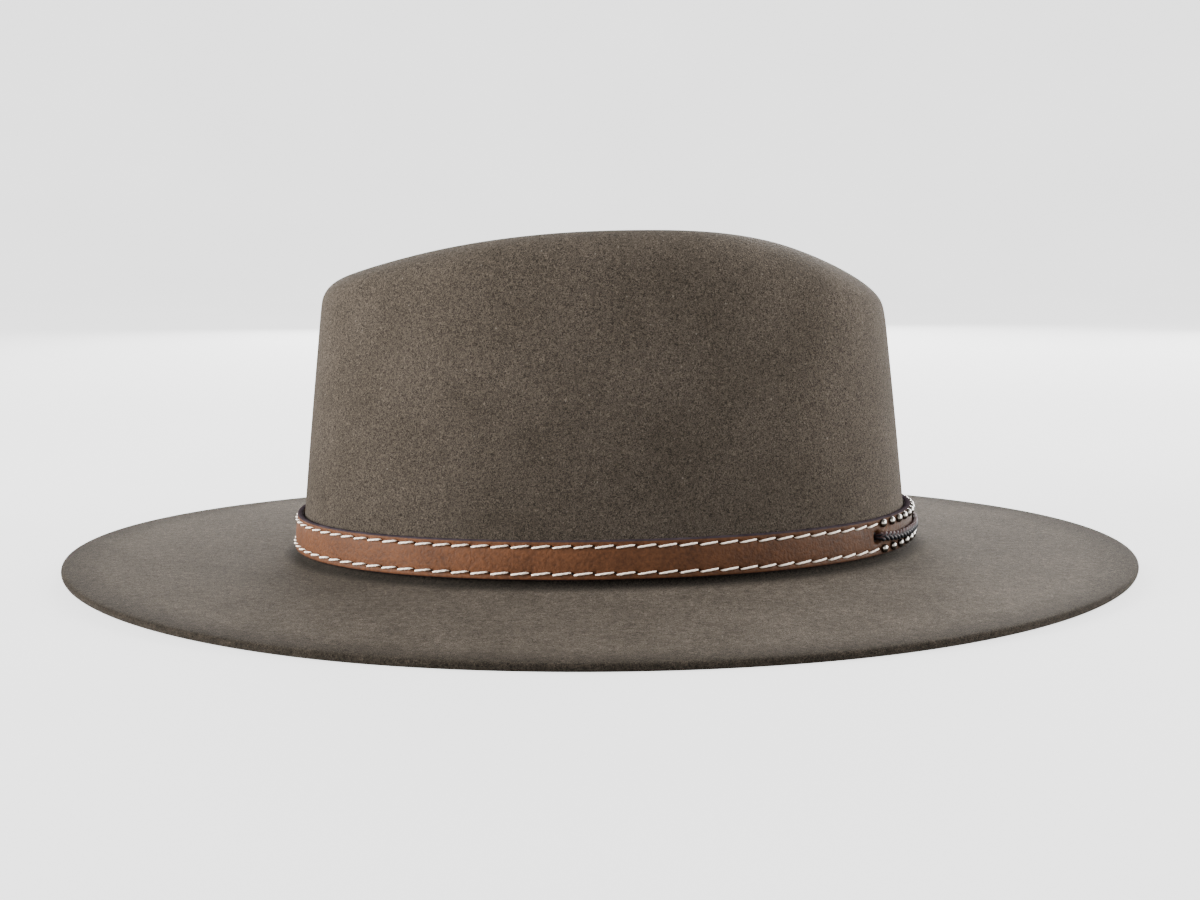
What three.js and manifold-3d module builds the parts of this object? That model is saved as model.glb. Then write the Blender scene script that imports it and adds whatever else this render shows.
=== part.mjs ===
// A wide-brimmed felt hat with a teardrop crown, a nearly flat raw-edged brim and a leather band.
// The band is one stitched strap with two rows of domed studs and a dark lace round the back.
// Units are millimetres. +X points to the back of the hat, +Y to the wearer's right, +Z up.
// The origin lies on the surface that the hat rests on, under the middle of the brim.
import * as THREE from "three";
import { mergeVertices } from "three/addons/utils/BufferGeometryUtils.js";
import Module from "manifold-3d";

// How finely the curved pieces are divided.
const FELT_STEPS = 68;
const BAND_STEPS = 84;
const ROUND_SIDES = 10;

// The felt. Each outline is an oval: egg makes it wider to the back, and narrower to the front.
const BRIM_THICKNESS = 3.0;
const CROWN_THICKNESS = 2.2;
const BREAK_RADIUS = 2.8;
const RIM = { front: -186.5, back: 186.5, halfWidth: 162.5, egg: 0 };
const FOOT = { front: -105.6, back: 108.3, halfWidth: 86.8, egg: 0 };
const SHOULDER = { front: -97.4, back: 99.8, halfWidth: 71.0, egg: 0.09 };
const CREST = { front: -87.0, back: 64.0, halfWidth: 57.0, egg: 0.26 };

// Heights of the brim: its top where it meets the crown, and how far its ends lift off the surface.
const BREAK_TOP = { front: 3.8, back: 6.4, sides: 1.7 };
const END_LIFT = { front: 2.6, back: 1.7 };
const REST_ARC = 0.3;
const REST_WIDTH = 10;
const BRIM_FALL = 1.5;
const BRIM_ROWS = [0.25, 0.5, 0.75];
const EDGE_ROWS = [
  { inset: 0.15, level: 0.72 },
  { inset: 0.15, level: 0.28 },
];
const EDGE_INSET = 1.0;

// The crown's side view: a peak with a gentle fall to the front and a steeper one to the back.
const PEAK = { x: 14.5, height: 115.7 };
const FRONT_FALL = { per100: 14.4, power: 2.28 };
const BACK_FALL = { per100: 31.5, power: 2.37 };
const SHOULDER_HEIGHT = { front: 90.4, back: 88.0, side: 104.3, power: 1.6 };
const WALL_ROWS = [0.35, 0.7];
const WALL_BULGE = 1.5;
const ROUND_ROWS = [0.25, 0.5, 0.75];
const SIDE_SLOPE = 0.12;
const LONGEST_RISE = 8;

// A shallow pinch in each side near the front, deepest under the crest.
const PINCH = { depth: 2.2, place: -0.72, spread: 0.18, start: 0.3 };

// The teardrop dent in the top: rows from the crest inwards, as a share of the way to its middle.
const DENT_MIDDLE = { x: 4, height: 112 };
const DENT_ROWS = [
  { inward: 0.62, drop: 18.6 },
  { inward: 0.38, drop: 14.0 },
  { inward: 0.18, drop: 6.0 },
  { inward: 0.07, drop: 1.2 },
];
const DENT_DEPTH = 19.6;

// The leather band, a closed strap that follows the foot of the crown.
const BAND = { gap: 0.4, thickness: 2.1, width: 12.2, bevel: 0.35 };
const BAND_FOOT = { front: 6.2, back: 8.5, sides: 1.9 };

// The studs: two rows of domed heads, each on a shank in its own hole.
const STUDS_EACH_ROW = 18;
const STUD_PITCH = 6.3;
const STUD_ROW = 4.2;
const STUD_SIDES = 8;
const STUD = { headRadius: 1.45, shankRadius: 0.45, seat: 0.3, mid: 1.15, height: 1.6, depth: 1.5 };
const STUD_HOLE = { radius: 0.85, sides: 6 };

// The lace lies between the rows of studs, and goes into a punched hole at each end.
const LACE = { halfHeight: 1.7, halfDepth: 1.0, seat: 0.3, bend: 1.6, lead: 1, reach: 57.35, end: 1.7 };
const LACE_STEPS = 28;
const LACE_HOLE = { halfHeight: 2.1, halfWidth: 1.5 };

const FULL_TURN = 2 * Math.PI;
const mix = THREE.MathUtils.lerp;
const wasm = await Module();
wasm.setup();

// A point of an oval outline at an angle, with its height still at zero.
function oval(outline, angle) {
  const middle = (outline.front + outline.back) / 2;
  const half = (outline.back - outline.front) / 2;
  const x = middle + half * Math.cos(angle);
  const y = outline.halfWidth * Math.sin(angle) * (1 + outline.egg * Math.cos(angle));
  return new THREE.Vector3(x, y, 0);
}

// The level direction that points straight out of an oval outline.
function outward(outline, angle) {
  const half = (outline.back - outline.front) / 2;
  const x = outline.halfWidth * Math.cos(angle);
  const y = half * Math.sin(angle);
  return new THREE.Vector3(x, y, 0).normalize();
}

// A height that slopes from the front to the back, and is raised at the sides as on a saddle.
function saddleHeight(heights, angle) {
  return mix(heights.front, heights.back, (1 + Math.cos(angle)) / 2) + heights.sides * Math.sin(angle) ** 2;
}

// The underside of the rim: flat at both sides, where the hat rests, and lifting to the ends.
function rimUnderside(angle) {
  const beyond = Math.max(0, Math.abs(Math.cos(angle)) - REST_ARC) / (1 - REST_ARC);
  const lift = Math.cos(angle) < 0 ? END_LIFT.front : END_LIFT.back;
  return lift * beyond ** 2;
}

function rimPoint(angle, inset, level) {
  const point = oval(RIM, angle).addScaledVector(outward(RIM, angle), -inset);
  point.z = rimUnderside(angle) + level * BRIM_THICKNESS;
  return point;
}

// The height of the crown's top, seen from the side.
function topHeight(x) {
  const fall = x < PEAK.x ? FRONT_FALL : BACK_FALL;
  return PEAK.height - fall.per100 * (Math.abs(x - PEAK.x) / 100) ** fall.power;
}

// How steeply the crown's top falls away from its peak there.
function topSlope(x) {
  const fall = x < PEAK.x ? FRONT_FALL : BACK_FALL;
  return ((fall.per100 * fall.power) / 100) * (Math.abs(x - PEAK.x) / 100) ** (fall.power - 1);
}

// How far the pinch draws the wall in, at an angle and a share of the wall's height.
function pinch(angle, rise) {
  const along = Math.exp(-(((Math.cos(angle) - PINCH.place) / PINCH.spread) ** 2));
  return PINCH.depth * along * THREE.MathUtils.smoothstep(rise, PINCH.start, 1);
}

function footPoint(angle) {
  const point = oval(FOOT, angle);
  point.z = saddleHeight(BREAK_TOP, angle) + BREAK_RADIUS;
  return point;
}

function shoulderPoint(angle) {
  const point = oval(SHOULDER, angle);
  const { front, back, side, power } = SHOULDER_HEIGHT;
  point.z = mix(side, Math.cos(angle) < 0 ? front : back, Math.abs(Math.cos(angle)) ** power);
  return point;
}

// The crown's wall, from its foot (rise 0) to its shoulder (rise 1). Below 0 it runs on downwards.
function wallPoint(angle, rise) {
  const point = footPoint(angle).lerp(shoulderPoint(angle), rise);
  const bulge = WALL_BULGE * Math.sin(Math.PI * THREE.MathUtils.clamp(rise, 0, 1));
  const shift = bulge * Math.abs(Math.sin(angle)) - pinch(angle, rise);
  return point.addScaledVector(outward(SHOULDER, angle), shift);
}

function crestPoint(angle) {
  const point = oval(CREST, angle);
  point.addScaledVector(outward(CREST, angle), -pinch(angle, 1));
  point.z = topHeight(point.x);
  return point;
}

// The rounding from the wall's shoulder up to the crest, a curve that leaves the wall along it.
function roundedCurve(angle) {
  const start = wallPoint(angle, 1);
  const end = crestPoint(angle);
  const span = start.distanceTo(end);
  const upWall = start.clone().sub(wallPoint(angle, 0.9)).normalize();
  const out = start.clone().sub(end).setZ(0).normalize();
  const slope = Math.abs(Math.cos(angle)) * topSlope(end.x) + SIDE_SLOPE * Math.abs(Math.sin(angle));
  const outDown = out.setZ(-slope).normalize();
  const leave = start.clone().addScaledVector(upWall, Math.min(0.4 * span, LONGEST_RISE));
  const arrive = end.clone().addScaledVector(outDown, 0.38 * span);
  return new THREE.CubicBezierCurve3(start, leave, arrive, end);
}

function dentPoint(angle, row) {
  const middle = new THREE.Vector3(DENT_MIDDLE.x, 0, DENT_MIDDLE.height);
  const point = crestPoint(angle).lerp(middle, row.inward);
  point.z -= row.drop;
  return point;
}

// The hollow curve where the wall turns out into the brim.
function breakPoint(angle, turn) {
  const point = footPoint(angle).addScaledVector(outward(FOOT, angle), BREAK_RADIUS * (1 - Math.cos(turn)));
  point.z -= BREAK_RADIUS * Math.sin(turn);
  return point;
}

function brimPoint(angle, share) {
  const inner = breakPoint(angle, Math.PI / 2);
  const outer = rimPoint(angle, EDGE_INSET + REST_WIDTH, 1);
  const point = inner.clone().lerp(outer, share);
  point.z = outer.z + (inner.z - outer.z) * (1 - share) ** BRIM_FALL;
  return point;
}

const angles = (steps) => Array.from({ length: steps }, (_, i) => (i / steps) * FULL_TURN);
const ring = (make) => angles(FELT_STEPS).map(make);

// The rows of the felt's outer face, from the dent's floor out to the rim, with their thickness.
function outerRows() {
  const rows = [];
  const add = (thickness, make) => rows.push({ thickness, points: ring(make) });
  for (const row of DENT_ROWS) add(CROWN_THICKNESS, (a) => dentPoint(a, row));
  add(CROWN_THICKNESS, crestPoint);
  for (const share of [...ROUND_ROWS].reverse()) {
    add(CROWN_THICKNESS, (a) => roundedCurve(a).getPoint(share));
  }
  for (const rise of [1, ...[...WALL_ROWS].reverse(), 0]) add(CROWN_THICKNESS, (a) => wallPoint(a, rise));
  const middle = (CROWN_THICKNESS + BRIM_THICKNESS) / 2;
  for (const turn of [Math.PI / 6, Math.PI / 3]) add(middle, (a) => breakPoint(a, turn));
  for (const share of [0, ...BRIM_ROWS]) add(BRIM_THICKNESS, (a) => brimPoint(a, share));
  return rows;
}

// The face's normal at each point of the rows, from the points before and after it both ways.
function rowNormals(rows) {
  return rows.map((row, k) =>
    row.points.map((_, i) => {
      const before = rows[Math.max(0, k - 1)].points[i];
      const after = rows[Math.min(rows.length - 1, k + 1)].points[i];
      const left = row.points[(i + FELT_STEPS - 1) % FELT_STEPS];
      const right = row.points[(i + 1) % FELT_STEPS];
      const across = after.clone().sub(before);
      const along = right.clone().sub(left);
      return across.cross(along).normalize();
    }),
  );
}

function innerRows(rows) {
  const normals = rowNormals(rows);
  return rows.map((row, k) =>
    row.points.map((point, i) => point.clone().addScaledVector(normals[k][i], -row.thickness)),
  );
}

// A closed skin over rows of points, with a single point at its start and at its end.
function skin(first, rows, last) {
  const steps = rows[0].length;
  const points = [first, ...rows.flat(), last];
  const at = (k, i) => 1 + k * steps + (i % steps);
  const faces = [];
  for (let i = 0; i < steps; i++) {
    faces.push(0, at(0, i), at(0, i + 1));
    for (let k = 0; k + 1 < rows.length; k++) {
      faces.push(at(k, i), at(k + 1, i), at(k + 1, i + 1));
      faces.push(at(k, i), at(k + 1, i + 1), at(k, i + 1));
    }
    faces.push(at(rows.length - 1, i), points.length - 1, at(rows.length - 1, i + 1));
  }
  return new THREE.BufferGeometry().setFromPoints(points).setIndex(faces);
}

function feltGeometry() {
  const outer = outerRows();
  const inner = innerRows(outer);
  const top = new THREE.Vector3(DENT_MIDDLE.x, 0, DENT_MIDDLE.height - DENT_DEPTH);
  const under = top.clone().setZ(top.z - CROWN_THICKNESS);
  const edge = [
    ring((a) => rimPoint(a, EDGE_INSET + REST_WIDTH, 1)),
    ring((a) => rimPoint(a, EDGE_INSET, 1)),
    ...EDGE_ROWS.map((row) => ring((a) => rimPoint(a, row.inset, row.level))),
    ring((a) => rimPoint(a, EDGE_INSET, 0)),
    ring((a) => rimPoint(a, EDGE_INSET + REST_WIDTH, 0)),
  ];
  return skin(top, [...outer.map((row) => row.points), ...edge, ...inner.reverse()], under);
}

// The crown's wall at a height above the surface, where the band lies on it.
function wallAtHeight(angle, height) {
  const foot = footPoint(angle).z;
  const shoulder = shoulderPoint(angle).z;
  return wallPoint(angle, (height - foot) / (shoulder - foot));
}

// The band's place at an angle: its lower inner edge, the way up its face and the way out of it.
function bandFrame(angle) {
  const height = saddleHeight(BAND_FOOT, angle);
  const low = wallAtHeight(angle, height);
  const high = wallAtHeight(angle, height + BAND.width);
  const up = high.sub(low).normalize();
  const out = outward(FOOT, angle);
  out.addScaledVector(up, -out.dot(up)).normalize();
  const along = new THREE.Vector3().crossVectors(up, out);
  return { low, up, out, along };
}

// A point on the band's outer face: level runs from the lower edge, proud outwards from the face.
function onBand(angle, level, proud) {
  const { low, up, out } = bandFrame(angle);
  return low.addScaledVector(up, level).addScaledVector(out, BAND.gap + BAND.thickness + proud);
}

// The band's cross-section, as levels and distances from the outer face.
function bandSection() {
  const { thickness, width, bevel } = BAND;
  return [
    { level: 0, proud: -thickness },
    { level: 0, proud: -bevel },
    { level: bevel, proud: 0 },
    { level: width - bevel, proud: 0 },
    { level: width, proud: -bevel },
    { level: width, proud: -thickness },
  ];
}

// A closed loop of sections, each a loop of points itself.
function hoop(sections) {
  const count = sections[0].length;
  const at = (k, i) => (k % sections.length) * count + (i % count);
  const faces = [];
  for (let k = 0; k < sections.length; k++) {
    for (let i = 0; i < count; i++) {
      faces.push(at(k, i), at(k + 1, i), at(k + 1, i + 1));
      faces.push(at(k, i), at(k + 1, i + 1), at(k, i + 1));
    }
  }
  return new THREE.BufferGeometry().setFromPoints(sections.flat()).setIndex(faces);
}

function toSolid(geometry) {
  const bare = geometry.clone();
  bare.deleteAttribute("normal");
  bare.deleteAttribute("uv");
  const merged = mergeVertices(bare, 1e-4);
  const vertProperties = new Float32Array(merged.attributes.position.array);
  const triVerts = new Uint32Array(merged.index.array);
  return new wasm.Manifold(new wasm.Mesh({ numProp: 3, vertProperties, triVerts }));
}

function fromSolid(solid) {
  const mesh = solid.getMesh();
  const geometry = new THREE.BufferGeometry();
  geometry.setAttribute("position", new THREE.BufferAttribute(mesh.vertProperties, 3));
  return geometry.setIndex(new THREE.BufferAttribute(mesh.triVerts, 1));
}

// The turn and place of a piece whose own Y axis points straight out of the band's face.
function seat(angle, level, proud) {
  const { up, out, along } = bandFrame(angle);
  const matrix = new THREE.Matrix4().makeBasis(along, out, up.clone().negate());
  return matrix.setPosition(onBand(angle, level, proud));
}

// The angle that lies a distance along the band from the middle of its back.
function angleAlongBand(distance) {
  const step = 0.002 * Math.sign(distance);
  let angle = 0;
  let travelled = 0;
  while (travelled < Math.abs(distance)) {
    const here = onBand(angle, BAND.width / 2, 0);
    angle += step;
    travelled += here.distanceTo(onBand(angle, BAND.width / 2, 0));
  }
  return angle;
}

// The places of one row of studs, spaced evenly to both sides of the middle of the back.
function studPlaces(level) {
  return Array.from({ length: STUDS_EACH_ROW }, (_, i) => {
    const distance = (i - (STUDS_EACH_ROW - 1) / 2) * STUD_PITCH;
    return { angle: angleAlongBand(distance), level };
  });
}

const UPPER_ROW = studPlaces(BAND.width / 2 + STUD_ROW);
const LOWER_ROW = studPlaces(BAND.width / 2 - STUD_ROW);
const LACE_ENDS = [angleAlongBand(-LACE.reach), angleAlongBand(LACE.reach)];

// A straight punch through the leather, round or oval.
function punch(angle, level, halfWidth, halfHeight, sides) {
  const geometry = new THREE.CylinderGeometry(1, 1, 3 * BAND.thickness, sides);
  geometry.scale(halfWidth, 1, halfHeight);
  return toSolid(geometry.applyMatrix4(seat(angle, level, -BAND.thickness / 2)));
}

function bandGeometry() {
  const sections = angles(BAND_STEPS).map((a) => bandSection().map((p) => onBand(a, p.level, p.proud)));
  let solid = toSolid(hoop(sections));
  for (const place of [...UPPER_ROW, ...LOWER_ROW]) {
    const { radius, sides } = STUD_HOLE;
    solid = solid.subtract(punch(place.angle, place.level, radius, radius, sides));
  }
  for (const angle of LACE_ENDS) {
    const { halfWidth, halfHeight } = LACE_HOLE;
    solid = solid.subtract(punch(angle, BAND.width / 2, halfWidth, halfHeight, ROUND_SIDES));
  }
  return fromSolid(solid);
}

// A domed head with its shank, turned about its own Y axis from the shank's tip to the dome.
function studGeometry() {
  const { headRadius, shankRadius, seat: lift, mid, height, depth } = STUD;
  const profile = [
    new THREE.Vector2(0, -depth),
    new THREE.Vector2(shankRadius, -depth),
    new THREE.Vector2(shankRadius, lift),
    new THREE.Vector2(headRadius, lift),
    new THREE.Vector2(mid, lift + 0.6 * (height - lift)),
    new THREE.Vector2(0, height),
  ];
  return new THREE.LatheGeometry(profile, STUD_SIDES);
}

// One oval section of the lace. Tip turns its thickness from out of the face to along the band.
function laceSection(angle, proud, shift, tip) {
  const { up, out, along } = bandFrame(angle);
  const centre = onBand(angle, BAND.width / 2, proud).addScaledVector(along, shift);
  const thick = out.clone().multiplyScalar(Math.cos(tip)).addScaledVector(along, Math.sin(tip));
  return angles(ROUND_SIDES).map((t) =>
    centre
      .clone()
      .addScaledVector(up, LACE.halfHeight * Math.cos(t))
      .addScaledVector(thick, -LACE.halfDepth * Math.sin(t)),
  );
}

// The bend at one end of the lace, from lying along the face to pointing into the punched hole.
function laceBend(angle, side) {
  const proud = LACE.seat + LACE.halfDepth;
  const sections = [0, 1, 2, 3].map((step) => {
    const tip = (step / 3) * (Math.PI / 2);
    const deep = proud - LACE.bend * (1 - Math.cos(tip));
    const shift = side * LACE.bend * (Math.sin(tip) - 1);
    return laceSection(angle, deep, shift, side * tip);
  });
  sections.push(laceSection(angle, -LACE.end, 0, (side * Math.PI) / 2));
  return sections;
}

function laceGeometry() {
  const [first, last] = LACE_ENDS;
  const inset = (LACE.bend + LACE.lead) / (2 * LACE.reach);
  const lying = Array.from({ length: LACE_STEPS + 1 }, (_, i) => {
    const share = mix(inset, 1 - inset, i / LACE_STEPS);
    return laceSection(mix(first, last, share), LACE.seat + LACE.halfDepth, 0, 0);
  });
  const sections = [...laceBend(first, -1).reverse(), ...lying, ...laceBend(last, 1)];
  const centre = (section) =>
    section.reduce((sum, p) => sum.add(p), new THREE.Vector3()).divideScalar(section.length);
  return skin(centre(sections[0]), sections, centre(sections[sections.length - 1]));
}

function material(color, roughness, metalness) {
  return new THREE.MeshStandardMaterial({ color, roughness, metalness });
}

const FELT = material(0x5d554b, 0.95, 0);
const LEATHER = material(0x74503a, 0.6, 0);
const NICKEL = material(0xc9c2b4, 0.2, 1);
const LACE_LEATHER = material(0x2b2729, 0.5, 0);

const hat = new THREE.Group();

function add(name, geometry, look) {
  const mesh = new THREE.Mesh(geometry, look);
  mesh.name = name;
  hat.add(mesh);
  return mesh;
}

function addStuds(name, places) {
  places.forEach((place, i) => {
    const stud = add(`${name}_${String(i + 1).padStart(2, "0")}`, studGeometry(), NICKEL);
    stud.applyMatrix4(seat(place.angle, place.level, 0));
  });
}

add("felt_body", feltGeometry(), FELT);
add("leather_band", bandGeometry(), LEATHER);
add("lace", laceGeometry(), LACE_LEATHER);
addStuds("stud_upper", UPPER_ROW);
addStuds("stud_lower", LOWER_ROW);

export default hat;
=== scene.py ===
# %% [markdown]
# # A wide-brimmed felt hat
# This lesson dresses a plain construction model of a hat: felt with a nap, a stitched leather band,
# polished studs and a braided lace. The construction model gives the sizes and the places. Every
# length here is in metres, +X points to the back of the hat, and the hat stands on the level z = 0.

# %% The construction model
import math
from collections import namedtuple

import bmesh
import bpy
from mathutils import Matrix, Vector


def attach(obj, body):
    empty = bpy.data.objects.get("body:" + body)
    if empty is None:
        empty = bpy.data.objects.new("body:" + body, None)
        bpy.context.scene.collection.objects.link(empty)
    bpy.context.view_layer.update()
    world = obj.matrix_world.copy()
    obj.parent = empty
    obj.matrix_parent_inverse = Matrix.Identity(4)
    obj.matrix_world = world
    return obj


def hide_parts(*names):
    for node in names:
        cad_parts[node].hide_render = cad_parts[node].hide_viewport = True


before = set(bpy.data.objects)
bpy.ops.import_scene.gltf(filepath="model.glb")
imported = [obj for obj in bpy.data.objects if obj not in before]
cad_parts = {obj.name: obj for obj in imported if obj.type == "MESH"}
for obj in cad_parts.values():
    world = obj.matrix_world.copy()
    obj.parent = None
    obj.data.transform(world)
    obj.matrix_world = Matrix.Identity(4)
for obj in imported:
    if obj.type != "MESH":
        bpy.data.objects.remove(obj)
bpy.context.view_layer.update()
BODY = "root"
MM = 0.001

# %% [markdown]
# The camera comes first, because it says what the picture needs. The hat is seen from its left side,
# from about the height of its crown. It could be aimed by a constraint, but a fixed place and
# three angles are easier to read, and nothing can move them later.

# %% The camera
CAMERA_PLACE = Vector((-0.0110, -0.5779, 0.1119))
LOOK_DOWN = 0.127
LOOK_ASIDE = -0.019
CAMERA_ROLL = -0.006
LENS_MM = 49.07
SENSOR_MM = 36

camera_data = bpy.data.cameras.new("camera")
camera_data.sensor_width = SENSOR_MM
camera_data.lens = LENS_MM
camera = bpy.data.objects.new("camera", camera_data)
bpy.context.scene.collection.objects.link(camera)
aim = Matrix.Rotation(LOOK_ASIDE, 4, "Z") @ Matrix.Rotation(math.pi / 2 - LOOK_DOWN, 4, "X")
camera.matrix_world = Matrix.Translation(CAMERA_PLACE) @ aim @ Matrix.Rotation(CAMERA_ROLL, 4, "Z")
bpy.context.scene.camera = camera
print("camera", round(CAMERA_PLACE.length, 3), "m from the middle of the brim")

# %% [markdown]
# A hat is blocked over a wooden form, so each level line round it is an oval. One small record holds
# such an oval, and three short functions give its points, the way out of it, and a height that rises
# at the sides like a saddle. A sketch traced over a drawing could do the same, but ovals stay smooth.

# %% Ovals
Oval = namedtuple("Oval", "front back half_width egg")
Saddle = namedtuple("Saddle", "front back sides")


def oval_point(outline, angle):
    """A point of the oval. Egg makes the oval wider to the back, and narrower to the front."""
    middle = (outline.front + outline.back) / 2
    half = (outline.back - outline.front) / 2
    x = middle + half * math.cos(angle)
    y = outline.half_width * math.sin(angle) * (1 + outline.egg * math.cos(angle))
    return Vector((x, y, 0))


def way_out(outline, angle):
    """The level direction straight out of the oval."""
    half = (outline.back - outline.front) / 2
    return Vector((outline.half_width * math.cos(angle), half * math.sin(angle), 0)).normalized()


def mix(start, end, share):
    return start + (end - start) * share


def smooth_step(value, start, end):
    """Goes softly from 0 at the start to 1 at the end."""
    share = min(1, max(0, (value - start) / (end - start)))
    return share * share * (3 - 2 * share)


def saddle_height(saddle, angle):
    between_ends = mix(saddle.front, saddle.back, (1 + math.cos(angle)) / 2)
    return between_ends + saddle.sides * math.sin(angle) ** 2


RIM = Oval(-186.5 * MM, 186.5 * MM, 162.5 * MM, 0)
FOOT = Oval(-105.6 * MM, 108.3 * MM, 86.8 * MM, 0)
SHOULDER = Oval(-97.4 * MM, 99.8 * MM, 71.0 * MM, 0.09)
CREST = Oval(-87.0 * MM, 64.0 * MM, 57.0 * MM, 0.26)
print("brim", round((RIM.back - RIM.front) / MM), "mm long, crown", round((FOOT.back - FOOT.front) / MM))

# %% [markdown]
# The brim is nearly flat. It rests on its sides, lifts a little at the front and back, and turns up
# into the crown in a small hollow curve, which hat makers call the break. Its rim is cut raw, so its
# edge is only a little rounded. Each line round the brim is one function of the angle.

# %% Lines of the brim
BRIM_THICKNESS = 3.0 * MM
CROWN_THICKNESS = 2.2 * MM
BREAK_RADIUS = 2.8 * MM
BREAK_TOP = Saddle(3.8 * MM, 6.4 * MM, 1.7 * MM)
FRONT_LIFT = 2.6 * MM
BACK_LIFT = 1.7 * MM
REST_ARC = 0.3
REST_WIDTH = 10 * MM
BRIM_FALL = 1.5


def rim_underside(angle):
    beyond = max(0, abs(math.cos(angle)) - REST_ARC) / (1 - REST_ARC)
    return (FRONT_LIFT if math.cos(angle) < 0 else BACK_LIFT) * beyond ** 2


def rim_point(angle, inset, drop=0):
    point = oval_point(RIM, angle) - way_out(RIM, angle) * inset
    point.z = rim_underside(angle) + BRIM_THICKNESS - drop
    return point


def foot_point(angle):
    point = oval_point(FOOT, angle)
    point.z = saddle_height(BREAK_TOP, angle) + BREAK_RADIUS
    return point


def break_point(angle, turn):
    point = foot_point(angle) + way_out(FOOT, angle) * BREAK_RADIUS * (1 - math.cos(turn))
    point.z -= BREAK_RADIUS * math.sin(turn)
    return point


def brim_point(angle, share):
    inner = break_point(angle, math.pi / 2)
    outer = rim_point(angle, REST_WIDTH)
    point = inner.lerp(outer, share)
    point.z = outer.z + (inner.z - outer.z) * (1 - share) ** BRIM_FALL
    return point


print("front of the brim lifts", FRONT_LIFT / MM, "mm")

# %% [markdown]
# The crown stands nearly upright, pinched a little in front. Its top rises to a peak and falls
# away to both ends, and a teardrop dent is pressed into it. The side view was measured first, then
# each part of it became a curve: the wall a bulged line, the shoulder a Bezier, the top two powers.

# %% Top of the crown
PEAK_X = 14.5 * MM
PEAK_HEIGHT = 115.7 * MM
Fall = namedtuple("Fall", "drop power")
FRONT_FALL = Fall(14.4 * MM, 2.28)
BACK_FALL = Fall(31.5 * MM, 2.37)
FALL_LENGTH = 100 * MM


def top_height(x):
    fall = FRONT_FALL if x < PEAK_X else BACK_FALL
    return PEAK_HEIGHT - fall.drop * (abs(x - PEAK_X) / FALL_LENGTH) ** fall.power


def top_slope(x):
    fall = FRONT_FALL if x < PEAK_X else BACK_FALL
    return fall.drop * fall.power / FALL_LENGTH * (abs(x - PEAK_X) / FALL_LENGTH) ** (fall.power - 1)


print("crown", round(PEAK_HEIGHT / MM, 1), "mm high at its peak")

# %% Wall of the crown
SHOULDER_FRONT = 90.4 * MM
SHOULDER_BACK = 88.0 * MM
SHOULDER_SIDE = 104.3 * MM
SHOULDER_POWER = 1.6
WALL_BULGE = 1.5 * MM
Pinch = namedtuple("Pinch", "depth place spread start")
PINCH = Pinch(2.2 * MM, -0.72, 0.18, 0.3)


def pinch_depth(angle, rise):
    along = math.exp(-(((math.cos(angle) - PINCH.place) / PINCH.spread) ** 2))
    return PINCH.depth * along * smooth_step(rise, PINCH.start, 1)


def shoulder_point(angle):
    point = oval_point(SHOULDER, angle)
    end = SHOULDER_FRONT if math.cos(angle) < 0 else SHOULDER_BACK
    point.z = mix(SHOULDER_SIDE, end, abs(math.cos(angle)) ** SHOULDER_POWER)
    return point


def wall_point(angle, rise):
    """The crown's wall, from its foot at rise 0 to its shoulder at rise 1."""
    bulge = WALL_BULGE * math.sin(math.pi * min(1, max(0, rise))) * abs(math.sin(angle))
    shift = bulge - pinch_depth(angle, rise)
    return foot_point(angle).lerp(shoulder_point(angle), rise) + way_out(SHOULDER, angle) * shift


def crest_point(angle):
    """The edge of the dent, which is the highest line round the crown."""
    point = oval_point(CREST, angle) - way_out(CREST, angle) * pinch_depth(angle, 1)
    point.z = top_height(point.x)
    return point


print("shoulder", round(SHOULDER_SIDE / MM, 1), "mm high at the sides")

# %% Rounding of the crown
SIDE_SLOPE = 0.12
LONGEST_RISE = 8 * MM
WALL_PULL = 0.4
CREST_PULL = 0.38
JUST_BELOW = 0.9


def round_point(angle, share):
    """The rounding over the shoulder, a Bezier that leaves the wall along it."""
    start = wall_point(angle, 1)
    end = crest_point(angle)
    span = (start - end).length
    up_wall = (start - wall_point(angle, JUST_BELOW)).normalized()
    out = start - end
    out.z = 0
    out.normalize()
    out.z = -abs(math.cos(angle)) * top_slope(end.x) - SIDE_SLOPE * abs(math.sin(angle))
    leave = start + up_wall * min(WALL_PULL * span, LONGEST_RISE)
    arrive = end + out.normalized() * CREST_PULL * span
    left = 1 - share
    first = start * left ** 3 + leave * 3 * left ** 2 * share
    return first + arrive * 3 * left * share ** 2 + end * share ** 3


print("the rounding rises at most", round(LONGEST_RISE / MM), "mm along the wall's line")

# %% The dent
DENT_MIDDLE = Vector((4 * MM, 0, 112 * MM))
DENT_DEPTH = 19.6 * MM
DentRow = namedtuple("DentRow", "inward drop")
DENT_ROWS = [
    DentRow(0.82, 19.5 * MM),
    DentRow(0.62, 18.6 * MM),
    DentRow(0.38, 14.0 * MM),
    DentRow(0.18, 6.0 * MM),
    DentRow(0.07, 1.2 * MM),
]


def dent_point(angle, row):
    point = crest_point(angle).lerp(DENT_MIDDLE, row.inward)
    point.z -= row.drop
    return point


print("dent", round(DENT_DEPTH / MM, 1), "mm deep")

# %% [markdown]
# A ring of vertices is the tool for all that goes round the hat. The ring is extruded once for each
# line, and every new vertex is laid where the line's function says. Each vertex keeps its angle in a
# layer of the mesh, which an extrusion copies, so no list of vertices has to be worked out.

# %% Rings
FELT_STEPS = 96
HALF_RADIUS = 0.5


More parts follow.
